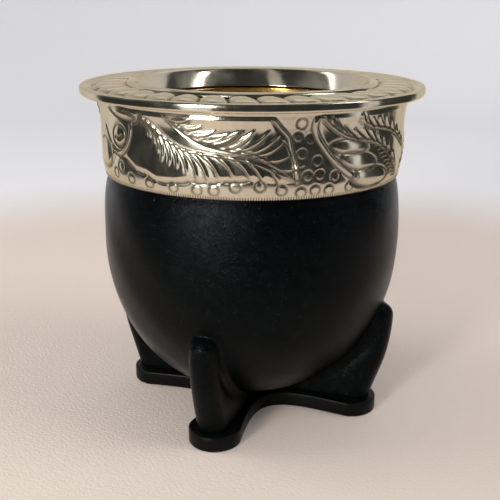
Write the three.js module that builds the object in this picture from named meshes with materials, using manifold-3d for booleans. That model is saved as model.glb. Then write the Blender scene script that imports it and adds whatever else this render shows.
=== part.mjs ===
// A leather-covered mate gourd with a nickel-silver ferrule, standing on four legs.
// Millimetres, +Z up, origin on the table under the middle of the sole.
// Azimuth 0 is the front, along -Y; the four legs point along -Y, +X, +Y and -X.
import * as THREE from "three";
import { mergeVertices } from "three/addons/utils/BufferGeometryUtils.js";
import Module from "manifold-3d";

// Driving dimensions of the whole
const SEAT_GAP = 0.3; // clearance between pieces that rest on each other
const LEG_COUNT = 4;

// Sole: a cross with round lobes
const SOLE_THICKNESS = 4.2;
const SOLE_REACH = 36.8; // axis to the tip of a lobe
const SOLE_LOBE_RADIUS = 7;
const SOLE_NECK_NARROWING = 1.5; // how far an arm draws in behind its lobe
const SOLE_CROTCH = 11.9; // axis to the notch between two arms
const SOLE_NOTCH_SWEEP = 3.5; // how far the notch runs square to its bisector
const SOLE_EDGE_ROUND = 0.5;

// Body: leather over a gourd
const BODY_RADIUS = 40.1; // over the leather, at the widest height
const BOWL_DEPTH = 45.5; // underside of the leather to the widest height
const BOWL_FULLNESS = 2.1; // 2 is an ellipse, more is squarer
const SHOULDER_RISE = 17.5; // widest height to the ferrule's lower edge
const LEATHER = 1.6;
const LEATHER_TUCK = 8.5; // how far the leather runs up under the ferrule
const LEATHER_SWELL = 0.9; // how far it swells out below the ferrule that grips it
const LEATHER_SWELL_DROP = 1.3; // how far below the ferrule's edge the swelling lies
const GOURD_WALL = 6.5;

// Legs: fins with a full round edge, under the same leather
const LEG_EDGE_RADIUS = 3.8; // round outer edge of the leather
const LEG_FLAT = 0.4; // flat width between the two round halves
const LEG_FOOT_SETBACK = 1.8; // lobe tip to the leg's outer edge at the sole
const LEG_TOP_PROUD = 0.2; // leg's outer edge at its top, beyond the widest radius
const LEG_HEIGHT = 28; // sole to the top of the leg
const LEG_ROOT = 16; // axis to the inner end of the fin

// Ferrule: band and mouth funnel in sheet metal, and a gadrooned flange
const SHEET = 0.8;
const BAND_INSET = 0.35; // band inside the body's widest radius
const BAND_HEIGHT = 20.25;
const BAND_HEM = 0.5; // how far the lower edge turns in to grip the leather
const BAND_HEM_HEIGHT = 1.5;
const BAND_COVE = 1.5; // radius of the cove where the band spreads under the flange
const RIM_RADIUS = 45;
const RIM_BEAD_RADIUS = 1.1;
const FLANGE_THICKNESS = 1.7;
const MOUTH_RADIUS = 30.4;
const LIP_WIDTH = 2.6;
const LIP_HEIGHT = 1.1;
const FUNNEL_DEPTH = 4.1; // underside of the lip to the throat
const THROAT_RADIUS = 28;
const THROAT_LENGTH = 14;
const THROAT_COLLAR = 4.2; // width of the collar that hangs the tube on the gourd
const GADROON_COUNT = 36;
const GADROON_HEIGHT = 1.05;
const GADROON_INNER_BORDER = 0.5; // plain ring between the lip and the gadroons
const GADROON_OUTER_BORDER = 1.8; // plain ring between the gadroons and the rolled edge

// Back seam
const SEAM_AZIMUTH = 225; // degrees, between the back and left legs
const SEAM_SLIT = 0.5; // between the two edges of the leather
const THREAD_RADIUS = 0.4;
const STITCH_PITCH = 2.3;
const STITCH_REACH = 1.7; // half the width of the lacing
const SEAM_TOP_MARGIN = 2.5; // below the ferrule
const SEAM_FOOT_HEIGHT = 6; // above the underside of the body

// Fineness of the round forms
const ROUND_STEPS = 48;
const BRIGHT_STEPS = 60;
const GADROON_STEPS = 4;
const BOWL_STEPS = 8;
const ARC_STEPS = 4;
const BEVEL_STEPS = 3;

// Heights, from the table up
const bodyBottom = SOLE_THICKNESS + SEAT_GAP;
const equator = bodyBottom + BOWL_DEPTH;
const bandBottom = equator + SHOULDER_RISE;
const bandTop = bandBottom + BAND_HEIGHT;
const flangeUnder = bandTop + SEAT_GAP;
const flangeTop = flangeUnder + FLANGE_THICKNESS;
const lipUnder = flangeTop + SEAT_GAP;
const lipTop = lipUnder + LIP_HEIGHT;
const funnelBottom = lipUnder - FUNNEL_DEPTH;
const collarTop = funnelBottom - SEAT_GAP;
const collarUnder = collarTop - SHEET;
const gourdTop = collarUnder - SEAT_GAP;
const leatherTop = bandBottom + LEATHER_TUCK;

// Radii that follow from what they fit
const bandRadius = BODY_RADIUS - BAND_INSET;
const bandInside = bandRadius - SHEET;
const neckRadius = bandInside - BAND_HEM - SEAT_GAP; // leather under the ferrule
const throatOutside = THROAT_RADIUS + SHEET;
const gourdBore = throatOutside + SEAT_GAP;
const gourdNeck = neckRadius - LEATHER - SEAT_GAP;
const collarRadius = throatOutside + THROAT_COLLAR;
const lipRadius = MOUTH_RADIUS + LIP_WIDTH;

// Solids

const wasm = await Module();
wasm.setup();

// A closed geometry as a solid that can be joined and cut.
function solidOf(geometry) {
  const bare = geometry.clone();
  bare.deleteAttribute("normal");
  bare.deleteAttribute("uv");
  const merged = mergeVertices(bare, 1e-4);
  return new wasm.Manifold(
    new wasm.Mesh({
      numProp: 3,
      vertProperties: merged.getAttribute("position").array,
      triVerts: new Uint32Array(merged.index.array),
    }),
  );
}

function geometryOf(solid) {
  const mesh = solid.getMesh();
  const geometry = new THREE.BufferGeometry();
  geometry.setAttribute("position", new THREE.BufferAttribute(mesh.vertProperties, 3));
  geometry.setIndex(new THREE.BufferAttribute(mesh.triVerts, 1));
  geometry.computeVertexNormals();
  return geometry;
}

// A profile of [radius, height] pairs, counter-clockwise, turned about the axis.
// A ring's profile closes on itself; a solid of revolution starts and ends on the axis.
function turned(profile, steps = ROUND_STEPS) {
  const points = profile.map(([radius, height]) => new THREE.Vector2(radius, height));
  if (profile[0][0] > 0) points.push(points[0].clone());
  return new THREE.LatheGeometry(points, steps).rotateX(Math.PI / 2);
}

// Points of an arc in the profile plane, from one angle to another in degrees.
function arc(radius, height, reachAcross, reachUp, from, to, steps = ARC_STEPS) {
  return Array.from({ length: steps + 1 }, (_, i) => {
    const angle = THREE.MathUtils.degToRad(from + ((to - from) * i) / steps);
    return [radius + reachAcross * Math.cos(angle), height + reachUp * Math.sin(angle)];
  });
}

// The shoulder, from the widest height to the ferrule's lower edge.
function shoulderCurve(inset) {
  return new THREE.CubicBezierCurve(
    new THREE.Vector2(BODY_RADIUS - inset, equator),
    new THREE.Vector2(BODY_RADIUS - inset, equator + (2 * SHOULDER_RISE) / 3),
    new THREE.Vector2(neckRadius + LEATHER_SWELL - inset, bandBottom - LEATHER_SWELL_DROP),
    new THREE.Vector2(neckRadius - inset, bandBottom - SEAT_GAP),
  );
}

// Outer surface of the body, inset by a depth: the bowl, the shoulder and the neck.
function bodyProfile(inset, top) {
  const widest = BODY_RADIUS - inset;
  const depth = BOWL_DEPTH - inset;
  const bowl = Array.from({ length: BOWL_STEPS + 1 }, (_, i) => {
    const angle = (Math.PI / 2) * (i / BOWL_STEPS);
    const radius = widest * Math.sin(angle) ** (2 / BOWL_FULLNESS);
    return [radius, equator - depth * Math.cos(angle) ** (2 / BOWL_FULLNESS)];
  });
  const rise = shoulderCurve(inset).getPoints(ARC_STEPS).slice(1);
  return [...bowl, ...rise.map((point) => [point.x, point.y]), [neckRadius - inset, top]];
}

function filledBody(inset, top) {
  return turned([...bodyProfile(inset, top), [0, top]]);
}

// One leg, pointing along +X: the fin's outline, grown by its round edge.
function legFin(edgeRadius) {
  const footEdge = SOLE_REACH - LEG_FOOT_SETBACK - LEG_EDGE_RADIUS;
  const topEdge = BODY_RADIUS + LEG_TOP_PROUD - LEG_EDGE_RADIUS;
  const top = bodyBottom + LEG_HEIGHT - LEG_EDGE_RADIUS;
  const below = bodyBottom - 2 * LEG_EDGE_RADIUS;
  const outline = new THREE.Shape();
  outline.moveTo(LEG_ROOT, below);
  outline.lineTo(footEdge, below);
  outline.lineTo(footEdge, bodyBottom);
  outline.bezierCurveTo(
    (footEdge + topEdge) / 2,
    bodyBottom + LEG_HEIGHT / 3,
    topEdge,
    top - LEG_HEIGHT / 3,
    topEdge,
    top,
  );
  outline.lineTo(LEG_ROOT, top);
  outline.closePath();
  return new THREE.ExtrudeGeometry(outline, {
    depth: LEG_FLAT,
    bevelThickness: edgeRadius,
    bevelSize: edgeRadius,
    bevelSegments: BEVEL_STEPS,
    curveSegments: ARC_STEPS,
  })
    .translate(0, 0, -LEG_FLAT / 2)
    .rotateX(Math.PI / 2);
}

// The side of the sole's top: everything that the body may not reach.
function belowSole() {
  const width = 4 * RIM_RADIUS;
  const deep = 4 * LEG_EDGE_RADIUS + bodyBottom;
  return solidOf(new THREE.BoxGeometry(width, width, deep).translate(0, 0, bodyBottom - deep / 2));
}

function legAngle(index) {
  return (index * 2 * Math.PI) / LEG_COUNT;
}

function bodyWithLegs(inset, top) {
  let body = solidOf(filledBody(inset, top));
  for (let i = 0; i < LEG_COUNT; i++) {
    body = body.add(solidOf(legFin(LEG_EDGE_RADIUS - inset).rotateZ(legAngle(i))));
  }
  return body;
}

// Pieces

function soleGeometry() {
  const lobe = SOLE_REACH - SOLE_LOBE_RADIUS;
  const crotch = SOLE_CROTCH * Math.SQRT1_2;
  const pull = (lobe - crotch) / 2;
  const sweep = SOLE_NOTCH_SWEEP;
  const spin = (x, y, index) => new THREE.Vector2(x, y).rotateAround(new THREE.Vector2(), legAngle(index));
  const outline = new THREE.Shape();
  for (let i = 0; i < LEG_COUNT; i++) {
    const tip = spin(lobe, 0, i);
    const side = spin(lobe, -SOLE_LOBE_RADIUS, i);
    if (i === 0) outline.moveTo(side.x, side.y);
    const turn = legAngle(i);
    outline.absarc(tip.x, tip.y, SOLE_LOBE_RADIUS, turn - Math.PI / 2, turn + Math.PI / 2, false);
    const points = [
      spin(lobe - pull, SOLE_LOBE_RADIUS - SOLE_NECK_NARROWING, i),
      spin(crotch + sweep, crotch - sweep, i),
      spin(crotch, crotch, i),
      spin(crotch - sweep, crotch + sweep, i),
      spin(SOLE_LOBE_RADIUS - SOLE_NECK_NARROWING, lobe - pull, i),
      spin(SOLE_LOBE_RADIUS, lobe, i),
    ].flatMap((point) => [point.x, point.y]);
    outline.bezierCurveTo(...points.slice(0, 6));
    outline.bezierCurveTo(...points.slice(6));
  }
  return new THREE.ExtrudeGeometry(outline, {
    depth: SOLE_THICKNESS - 2 * SOLE_EDGE_ROUND,
    bevelThickness: SOLE_EDGE_ROUND,
    bevelSize: SOLE_EDGE_ROUND,
    bevelOffset: -SOLE_EDGE_ROUND,
    bevelSegments: 1,
    curveSegments: 2 * ARC_STEPS,
  }).translate(0, 0, SOLE_EDGE_ROUND);
}

// The slit where the two edges of the leather meet, from the seam's foot up.
function seamSlit() {
  const foot = bodyBottom + SEAM_FOOT_HEIGHT;
  const tall = leatherTop + LEATHER - foot;
  const slit = new THREE.BoxGeometry(SEAM_SLIT, BODY_RADIUS + LEATHER, tall);
  slit.translate(0, -(BODY_RADIUS + LEATHER) / 2, foot + tall / 2);
  return solidOf(slit.rotateZ(THREE.MathUtils.degToRad(SEAM_AZIMUTH)));
}

function leatherGeometry() {
  const outside = bodyWithLegs(0, leatherTop);
  const inside = bodyWithLegs(LEATHER, leatherTop + LEATHER);
  const skin = outside.subtract(inside).subtract(belowSole());
  return geometryOf(skin.subtract(seamSlit()));
}

function legCoreGeometry(index) {
  const fin = legFin(LEG_EDGE_RADIUS - LEATHER - SEAT_GAP).rotateZ(legAngle(index));
  const gourd = solidOf(filledBody(LEATHER, gourdTop));
  return geometryOf(solidOf(fin).subtract(gourd).subtract(belowSole()));
}

function gourdGeometry() {
  const skin = LEATHER + SEAT_GAP;
  const outside = bodyProfile(skin, gourdTop);
  const widest = BODY_RADIUS - skin - GOURD_WALL;
  const depth = BOWL_DEPTH - skin - GOURD_WALL;
  const shoulderTop = collarTop - THROAT_LENGTH;
  const neck = [
    [gourdBore, gourdTop],
    [gourdBore, shoulderTop],
  ];
  const bulge = new THREE.CubicBezierCurve(
    new THREE.Vector2(gourdBore, shoulderTop),
    new THREE.Vector2(gourdBore, shoulderTop - (shoulderTop - equator) / 2),
    new THREE.Vector2(widest, shoulderTop - (shoulderTop - equator) / 2),
    new THREE.Vector2(widest, equator),
  )
    .getPoints(ARC_STEPS)
    .slice(1)
    .map((point) => [point.x, point.y]);
  const hollow = Array.from({ length: BOWL_STEPS }, (_, i) => {
    const angle = (Math.PI / 2) * (1 - (i + 1) / BOWL_STEPS);
    const radius = widest * Math.sin(angle) ** (2 / BOWL_FULLNESS);
    return [radius, equator - depth * Math.cos(angle) ** (2 / BOWL_FULLNESS)];
  });
  return turned([...outside, ...neck, ...bulge, ...hollow]);
}

// Outer wall of the mouth funnel at a height.
function funnelOutside(height) {
  const share = (height - funnelBottom) / FUNNEL_DEPTH;
  return throatOutside + share * (MOUTH_RADIUS - THROAT_RADIUS);
}

function funnelGeometry() {
  const middle = MOUTH_RADIUS + LIP_WIDTH / 2;
  const lip = arc(middle, lipUnder, LIP_WIDTH / 2, LIP_HEIGHT, 0, 180, 2 * ARC_STEPS);
  return turned(
    [
      [THROAT_RADIUS, funnelBottom],
      [throatOutside, funnelBottom],
      [funnelOutside(lipUnder), lipUnder],
      ...lip,
    ],
    BRIGHT_STEPS,
  );
}

function throatGeometry() {
  return turned([
    [THROAT_RADIUS, collarTop - THROAT_LENGTH],
    [throatOutside, collarTop - THROAT_LENGTH],
    [throatOutside, collarUnder],
    [collarRadius, collarUnder],
    [collarRadius, collarTop],
    [THROAT_RADIUS, collarTop],
  ]);
}

// The bed that fills the room between the gourd's neck and the sheet metal.
function beddingGeometry() {
  const outside = bandInside - SEAT_GAP;
  const inside = gourdNeck + SEAT_GAP;
  const over = collarTop + SEAT_GAP;
  const aroundCollar = collarRadius + SEAT_GAP;
  const under = gourdTop + SEAT_GAP;
  const foot = leatherTop + SEAT_GAP;
  return turned([
    [inside, foot],
    [outside, foot],
    [outside, bandTop],
    [funnelOutside(bandTop) + SEAT_GAP, bandTop],
    [funnelOutside(over) + SEAT_GAP, over],
    [aroundCollar, over],
    [aroundCollar, under],
    [inside, under],
  ]);
}

function bandGeometry() {
  const hemTop = bandBottom + BAND_HEM_HEIGHT;
  return turned(
    [
      [bandInside - BAND_HEM, bandBottom],
      [bandRadius - BAND_HEM, bandBottom],
      [bandRadius, hemTop],
      ...arc(bandRadius + BAND_COVE, bandTop - BAND_COVE, BAND_COVE, BAND_COVE, 180, 90),
      [bandInside, bandTop],
      [bandInside, hemTop],
    ],
    BRIGHT_STEPS,
  );
}

// The flange: a plate with a rolled edge, and radial gadroons raised on its top.
function flangeGeometry() {
  const hole = funnelOutside(lipUnder) + SEAT_GAP;
  const beadCentre = RIM_RADIUS - RIM_BEAD_RADIUS;
  const beadHeight = flangeUnder + RIM_BEAD_RADIUS;
  const first = lipRadius + GADROON_INNER_BORDER;
  const last = beadCentre - RIM_BEAD_RADIUS - GADROON_OUTER_BORDER;
  const length = last - first;
  const rows = [0, 0.12, 0.5, 0.88, 1].map((share) => [last - share * length, flangeTop]);
  const geometry = turned(
    [
      [hole, flangeUnder],
      ...arc(beadCentre, beadHeight, RIM_BEAD_RADIUS, RIM_BEAD_RADIUS, -90, 140, 2 * ARC_STEPS),
      ...rows,
      [hole, flangeTop],
    ],
    GADROON_COUNT * GADROON_STEPS,
  );
  const position = geometry.getAttribute("position");
  for (let i = 0; i < position.count; i++) {
    const radius = Math.hypot(position.getX(i), position.getY(i));
    const along = (radius - first) / length;
    if (along <= 0 || along >= 1 || position.getZ(i) < flangeTop - FLANGE_THICKNESS / 8) continue;
    const turn = (Math.atan2(position.getY(i), position.getX(i)) * GADROON_COUNT) / 2;
    const crown = Math.sqrt(Math.sin(Math.PI * along)) * Math.abs(Math.sin(turn));
    position.setZ(i, flangeTop + GADROON_HEIGHT * crown);
  }
  geometry.computeVertexNormals();
  return geometry;
}

// Radius of the leather at a height.
function skinRadius(height) {
  if (height <= equator) {
    const share = (equator - height) / BOWL_DEPTH;
    return BODY_RADIUS * (1 - share ** BOWL_FULLNESS) ** (1 / BOWL_FULLNESS);
  }
  const points = shoulderCurve(0).getPoints(ARC_STEPS);
  const next = points.findIndex((point) => point.y >= height);
  const [low, high] = [points[next - 1], points[next]];
  return THREE.MathUtils.mapLinear(height, low.y, high.y, low.x, high.x);
}

// One unbroken thread, laced to and fro across the back seam.
function threadGeometry() {
  const top = bandBottom - SEAM_TOP_MARGIN;
  const foot = bodyBottom + SEAM_FOOT_HEIGHT;
  const proud = THREAD_RADIUS + SEAT_GAP;
  const stitches = Math.round((top - foot) / STITCH_PITCH);
  const turn = THREE.MathUtils.degToRad(SEAM_AZIMUTH);
  const points = Array.from({ length: stitches + 1 }, (_, i) => {
    const height = top - (i * (top - foot)) / stitches;
    const radius = skinRadius(height) + proud;
    const azimuth = turn + ((i % 2 ? 1 : -1) * STITCH_REACH) / radius;
    return new THREE.Vector3(radius * Math.sin(azimuth), -radius * Math.cos(azimuth), height);
  });
  const section = new THREE.Shape();
  section.absarc(0, 0, THREAD_RADIUS, 0, 2 * Math.PI, false);
  return new THREE.ExtrudeGeometry(section, {
    extrudePath: new THREE.CatmullRomCurve3(points, false, "centripetal"),
    steps: 3 * stitches,
    curveSegments: 3,
    bevelEnabled: false,
  });
}

// Finishes

function finish(color, roughness, metalness) {
  return new THREE.MeshStandardMaterial({ color, roughness, metalness });
}

const nickelSilver = finish(0xc9c0a4, 0.16, 1);
const brass = finish(0xb08d45, 0.22, 1);
const blackLeather = finish(0x17191a, 0.55, 0);
const soleLeather = finish(0x101213, 0.42, 0);
const waxedThread = finish(0x1b1a18, 0.7, 0);
const driedGourd = finish(0x8a5f36, 0.8, 0);
const legWood = finish(0xa27b50, 0.75, 0);
const resin = finish(0x6d6250, 0.5, 0);

// Assembly

const gourd = new THREE.Group();

function place(name, geometry, material) {
  const mesh = new THREE.Mesh(geometry, material);
  mesh.name = name;
  gourd.add(mesh);
}

place("sole", soleGeometry(), soleLeather);
place("leather_cover", leatherGeometry(), blackLeather);
["right", "back", "left", "front"].forEach((side, index) => {
  place(`leg_core_${side}`, legCoreGeometry(index), legWood);
});
place("gourd_shell", gourdGeometry(), driedGourd);
place("seam_thread", threadGeometry(), waxedThread);
place("bedding_ring", beddingGeometry(), resin);
place("throat_tube", throatGeometry(), brass);
place("mouth_funnel", funnelGeometry(), nickelSilver);
place("rim_flange", flangeGeometry(), nickelSilver);
place("ferrule_band", bandGeometry(), nickelSilver);

export default gourd;
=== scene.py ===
"""A leather-covered mate gourd with a chased nickel-silver ferrule, dressed over its solids."""

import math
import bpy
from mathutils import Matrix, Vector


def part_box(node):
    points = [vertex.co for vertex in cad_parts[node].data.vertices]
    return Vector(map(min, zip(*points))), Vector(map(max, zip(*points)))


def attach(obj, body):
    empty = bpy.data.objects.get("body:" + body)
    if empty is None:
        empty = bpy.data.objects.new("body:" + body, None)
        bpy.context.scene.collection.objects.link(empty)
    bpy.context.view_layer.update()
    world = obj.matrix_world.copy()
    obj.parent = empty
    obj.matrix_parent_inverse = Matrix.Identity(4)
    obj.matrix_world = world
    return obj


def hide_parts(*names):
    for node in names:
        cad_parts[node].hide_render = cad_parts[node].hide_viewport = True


bl_info = {
    "name": "Leather Mate Gourd",
    "version": (1, 0, 0),
    "blender": (4, 5, 0),
    "location": "3D View > Sidebar > Mate Gourd",
    "description": "Builds a leather-covered drinking gourd on four legs with a chased ferrule",
    "category": "Add Mesh",
}

import bmesh
import bpy
import numpy as np
from bpy.props import FloatProperty, FloatVectorProperty, IntProperty, PointerProperty
from mathutils import Matrix, Vector

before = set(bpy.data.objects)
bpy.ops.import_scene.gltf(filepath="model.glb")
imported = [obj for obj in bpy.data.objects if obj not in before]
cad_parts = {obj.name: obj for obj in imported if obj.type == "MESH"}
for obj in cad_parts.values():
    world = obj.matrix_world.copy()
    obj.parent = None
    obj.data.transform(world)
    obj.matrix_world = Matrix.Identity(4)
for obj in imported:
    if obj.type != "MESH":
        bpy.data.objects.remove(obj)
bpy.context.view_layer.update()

MM = 0.001
AXIS = Vector((0, 0, 1))
LEG_COUNT = 4
SECTORS = 12
WELD = 2e-6

# Sizes that more than one piece needs, in millimetres
BAND_COVE = 1.5
NECK_INSET = 1.6
THROAT_COLLAR = 4.2


def node_span(node):
    """Outer radius, lowest and highest height of a round node, in millimetres."""
    low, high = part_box(node)
    return high.x / MM, low.z / MM, high.z / MM


COVER_RADIUS, COVER_LOW, COVER_HIGH = node_span("leather_cover")
BAND_REACH, BAND_LOW, BAND_HIGH = node_span("ferrule_band")
RIM_RADIUS, RIM_LOW, _ = node_span("rim_flange")
FUNNEL_RADIUS, FUNNEL_LOW, FUNNEL_HIGH = node_span("mouth_funnel")
TUBE_RADIUS, TUBE_LOW, TUBE_HIGH = node_span("throat_tube")
GOURD_RADIUS, GOURD_LOW, GOURD_HIGH = node_span("gourd_shell")
SOLE_REACH, SOLE_LOW, SOLE_HIGH = node_span("sole")


# Settings that a user would change


def length_setting(name, description, default):
    """A length, whose default is in millimetres."""
    return FloatProperty(name=name, description=description, default=default * MM, unit="LENGTH")


def angle_setting(name, description, default):
    """An angle, whose default is in radians."""
    return FloatProperty(name=name, description=description, default=default, subtype="ANGLE")


def colour_setting(name, description, default):
    """A linear colour."""
    return FloatVectorProperty(name=name, description=description, default=default, subtype="COLOR", size=3)


class CoverSettings(bpy.types.PropertyGroup):
    """The leather over the gourd and its legs"""

    widest_height: length_setting("Widest height", "Height of the body's widest ring above the table", 50)
    fullness: FloatProperty(
        name="Bowl fullness", description="Shape of the bowl: 2 is an ellipse, more is squarer", default=2.1
    )
    thickness: length_setting("Leather thickness", "Thickness of the hide", 1.4)
    blend: length_setting("Crease softness", "How softly a leg runs into the body", 1.0)
    leg_foot_radius: length_setting("Leg edge at the foot", "Radius of a leg's round edge at the sole", 4.0)
    leg_top_radius: length_setting("Leg edge at the top", "Radius of a leg's round edge at its top", 3.4)
    voxel: length_setting("Mesh size", "Cell size of the leather's mesh", 0.8)
    seam_azimuth: angle_setting(
        "Seam azimuth", "Where the leather's edges meet, from the front", math.radians(225)
    )
    colour: colour_setting("Leather colour", "Dyed black cowhide", (0.0008, 0.0011, 0.0013))
    sole_colour: colour_setting("Sole colour", "Dyed black sole leather", (0.0013, 0.0015, 0.0016))
    thread_colour: colour_setting("Thread colour", "Waxed lacing", (0.02, 0.019, 0.017))


class FerruleSettings(bpy.types.PropertyGroup):
    """The metal of the mouth"""

    sheet: length_setting("Sheet thickness", "Thickness of the metal sheet", 0.8)
    panels: IntProperty(
        name="Ornament panels", description="How often the chased ornament repeats round the band", default=2
    )
    teeth: IntProperty(name="Hem teeth", description="Notches round the band's lower edge", default=400)
    relief: FloatProperty(name="Relief", description="Strength of the chased ornament", default=1.0, min=0.0)
    gadroons: IntProperty(name="Gadroons", description="Raised lobes round the flange", default=36)
    gadroon_height: length_setting("Gadroon height", "Height of a lobe", 1.05)
    silver: colour_setting("Nickel silver", "Reflection of the polished alloy", (0.665, 0.615, 0.5))
    brass: colour_setting("Brass", "Reflection of the throat tube", (0.6, 0.4, 0.14))


class StudioSettings(bpy.types.PropertyGroup):
    """Camera, floor and light"""

    lens: FloatProperty(name="Lens", description="Focal length for a 36 mm sensor", default=58.97)
    distance: length_setting("Camera distance", "From the cup's axis, measured level", 219.7)
    height: length_setting("Camera height", "Above the table", 113.5)
    azimuth: angle_setting("Camera azimuth", "From the front leg, towards the right leg", math.radians(18.3))
    yaw: angle_setting("Camera yaw", "Turn of the view to the left", 0.0019)
    pitch: angle_setting("Camera pitch", "Downward tilt", math.radians(17.67))
    roll: angle_setting("Camera roll", "Turn about the line of sight", 0.0042)
    floor_colour: colour_setting("Floor", "Pale warm floor", (0.665, 0.585, 0.53))
    wall_colour: colour_setting("Backdrop", "Pale wall of the studio", (0.77, 0.78, 0.815))


class GourdSettings(bpy.types.PropertyGroup):
    """All settings of the gourd"""

    cover: PointerProperty(type=CoverSettings)
    ferrule: PointerProperty(type=FerruleSettings)
    studio: PointerProperty(type=StudioSettings)


# Mesh helpers


def only_verts(geom):
    """The vertices among the results of a mesh operation."""
    return [item for item in geom if isinstance(item, bmesh.types.BMVert)]


def rotate(bm, verts, angle):
    """Turns vertices about the upright axis."""
    bmesh.ops.rotate(bm, cent=(0, 0, 0), matrix=Matrix.Rotation(angle, 3, "Z"), verts=verts)


def spun(profile, steps, closed=True):
    """A closed loop of (radius, height) points, or an open line, turned about the upright axis.

    The points are in millimetres. One sector is spun and then copied round.
    """
    bm = bmesh.new()
    verts = [bm.verts.new((radius * MM, 0, height * MM)) for radius, height in profile]
    pairs = zip(verts[-1:] + verts[:-1], verts) if closed else zip(verts, verts[1:])
    edges = [bm.edges.new(pair) for pair in pairs]
    sector = 2 * math.pi / SECTORS
    bmesh.ops.spin(bm, geom=verts + edges, cent=(0, 0, 0), axis=AXIS, angle=sector, steps=steps // SECTORS)
    first = bm.verts[:] + bm.edges[:] + bm.faces[:]
    for index in range(1, SECTORS):
        copied = bmesh.ops.duplicate(bm, geom=first)["geom"]
        rotate(bm, only_verts(copied), index * sector)
    bmesh.ops.remove_doubles(bm, verts=bm.verts, dist=WELD)
    bmesh.ops.recalc_face_normals(bm, faces=bm.faces)
    return bm


def prism(bm, outline, push):
    """An outline of places pushed into a solid, in millimetres; gives the solid's vertices."""
    verts = [bm.verts.new([value * MM for value in place]) for place in outline]
    pushed = bmesh.ops.extrude_face_region(bm, geom=[bm.faces.new(verts)])["geom"]
    moved = only_verts(pushed)
    bmesh.ops.translate(bm, vec=[value * MM for value in push], verts=moved)
    return verts + moved


def arc(radius, height, reach, start, stop, steps, rise=None):
    """Points of an arc in the profile plane; the angles are in degrees."""
    angles = np.radians(np.linspace(start, stop, steps + 1))
    rise = reach if rise is None else rise
    return [(radius + reach * math.cos(a), height + rise * math.sin(a)) for a in angles]


def bezier(start, first, second, end, steps):
    """Points of a cubic curve, its start left out."""
    points = []
    for step in range(1, steps + 1):
        q = step / steps
        weights = ((1 - q) ** 3, 3 * q * (1 - q) ** 2, 3 * q * q * (1 - q), q**3)
        points.append(tuple(np.dot(weights, np.array((start, first, second, end)))))
    return points


def mesh_points(mesh):
    """Vertex places of a mesh in millimetres."""
    points = np.zeros(len(mesh.vertices) * 3)
    mesh.vertices.foreach_get("co", points)
    return points.reshape(-1, 3) / MM


def set_mesh_points(mesh, points):
    """Puts vertices back from millimetres."""
    mesh.vertices.foreach_set("co", (points * MM).ravel())
    mesh.update()


def set_recess(mesh, values):
    """Tells the metal's material how deep each vertex lies in a chased line or a valley; the material
    darkens the lines as dark polish and the valleys as painted shade.
    """
    mesh.attributes.new("recess", "FLOAT", "POINT").data.foreach_set("value", values.astype(np.float32))


def new_object(bm, name, material):
    """An object made of a mesh in progress, put in the scene."""
    mesh = bpy.data.meshes.new(name)
    bm.to_mesh(mesh)
    bm.free()
    mesh.materials.append(material)
    made = bpy.data.objects.new(name, mesh)
    bpy.context.scene.collection.objects.link(made)
    return made


def finish_piece(bm, name, nodes, material):
    """Makes the object of a piece, which rides on the body and stands for its nodes."""
    piece = new_object(bm, name, material)
    piece.data.shade_smooth()
    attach(piece, "root")
    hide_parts(*nodes)
    return piece


def apply_modifiers(piece):
    """Replaces a piece's mesh by its evaluated one."""
    graph = bpy.context.evaluated_depsgraph_get()
    done = bpy.data.meshes.new_from_object(piece.evaluated_get(graph))
    old = piece.data
    piece.modifiers.clear()
    piece.data = done
    bpy.data.meshes.remove(old)


# Shader helpers and shared effects


def feed(tree, node, inputs):
    """Sets a node's inputs: a value on its own socket, or a link from another node's socket."""
    for key, value in inputs.items():
        socket = node.inputs[key]
        if isinstance(value, bpy.types.NodeSocket):
            tree.links.new(value, socket)
        else:
            socket.default_value = value


def shader_node(tree, kind, inputs=None, **settings):
    """A new node with its settings and inputs."""
    node = tree.nodes.new(kind)
    for name, value in settings.items():
        setattr(node, name, value)
    feed(tree, node, inputs or {})
    return node


def shader_group(name, amount, default, outputs):
    """An empty shader group, which takes a vector and one amount and gives numbers."""
    tree = bpy.data.node_groups.new(name, "ShaderNodeTree")
    tree.interface.new_socket("Vector", in_out="INPUT", socket_type="NodeSocketVector")
    made = tree.interface.new_socket(amount, in_out="INPUT", socket_type="NodeSocketFloat")
    made.default_value = default
    for socket in outputs:
        tree.interface.new_socket(socket, in_out="OUTPUT", socket_type="NodeSocketFloat")
    return tree, tree.nodes.new("NodeGroupInput"), tree.nodes.new("NodeGroupOutput")


def math_node(tree, operation, first, second):
    """The result of a Math node."""
    node = shader_node(tree, "ShaderNodeMath", {0: first, 1: second}, operation=operation)
    return node.outputs[0]


def ranged(tree, value, low, high, to_low, to_high):
    """A value carried from one range to another, held at its ends."""
    node = shader_node(
        tree,
        "ShaderNodeMapRange",
        {"Value": value, "From Min": low, "From Max": high, "To Min": to_low, "To Max": to_high},
    )
    return node.outputs["Result"]


def noise(tree, vector, scale, detail=3.0, roughness=0.55):
    """Value of a Noise texture."""
    node = shader_node(
        tree,
        "ShaderNodeTexNoise",
        {"Vector": vector, "Scale": scale, "Detail": detail, "Roughness": roughness},
    )
    return node.outputs[0]


def mixed(tree, factor, first, second):
    """A colour between two, by a factor."""
    node = shader_node(tree, "ShaderNodeMix", {0: factor}, data_type="RGBA")
    for index, colour in ((6, first), (7, second)):
        linked = isinstance(colour, bpy.types.NodeSocket)
        feed(tree, node, {index: colour if linked else (*colour, 1)})
    return node.outputs[2]


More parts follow.
